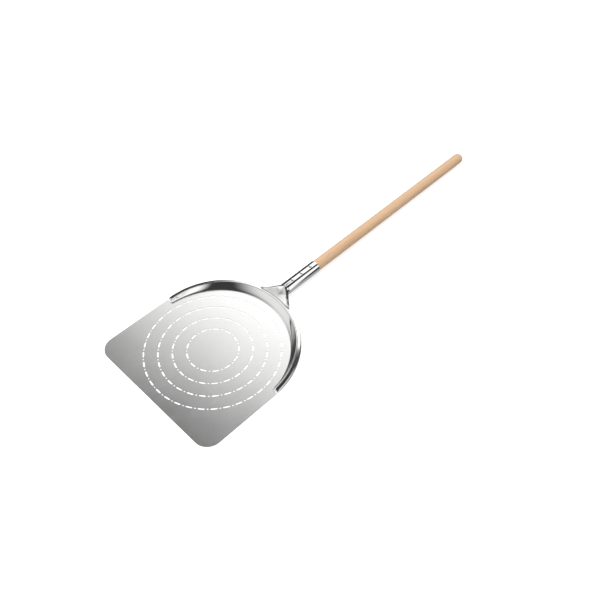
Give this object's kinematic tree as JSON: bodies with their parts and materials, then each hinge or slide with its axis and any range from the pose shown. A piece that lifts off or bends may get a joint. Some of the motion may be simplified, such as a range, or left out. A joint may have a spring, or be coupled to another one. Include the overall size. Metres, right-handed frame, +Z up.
{
  "type": "pizza peel",
  "caption": "Hand peel for a pizza oven: a flat perforated steel blade with a rolled back rim, a riveted steel socket and a round wooden handle.",
  "frame": {"origin": "centre of the rings of slots, on the blade's flat underside", "axes": "+X along the handle from blade to handle end, +Y to the left of a person looking from the blade towards the handle, +Z up from the blade"},
  "size_m": [1.0537, 0.36, 0.0347],
  "materials": {
    "satin_blade": "finely brushed stainless steel",
    "polished_rim": "polished stainless steel",
    "polished_socket": "polished stainless steel",
    "rivet_steel": "lightly polished stainless steel",
    "beech": "sanded and oiled beech, grain along the handle"
  },
  "bodies": {
    "root": {"blade_pan": "satin_blade", "rim_yoke": "polished_rim", "handle_socket": "polished_socket", "socket_rivet_front": "rivet_steel", "socket_rivet_middle": "rivet_steel", "socket_rivet_rear": "rivet_steel", "wooden_handle": "beech"}
  },
  "joints": []
}
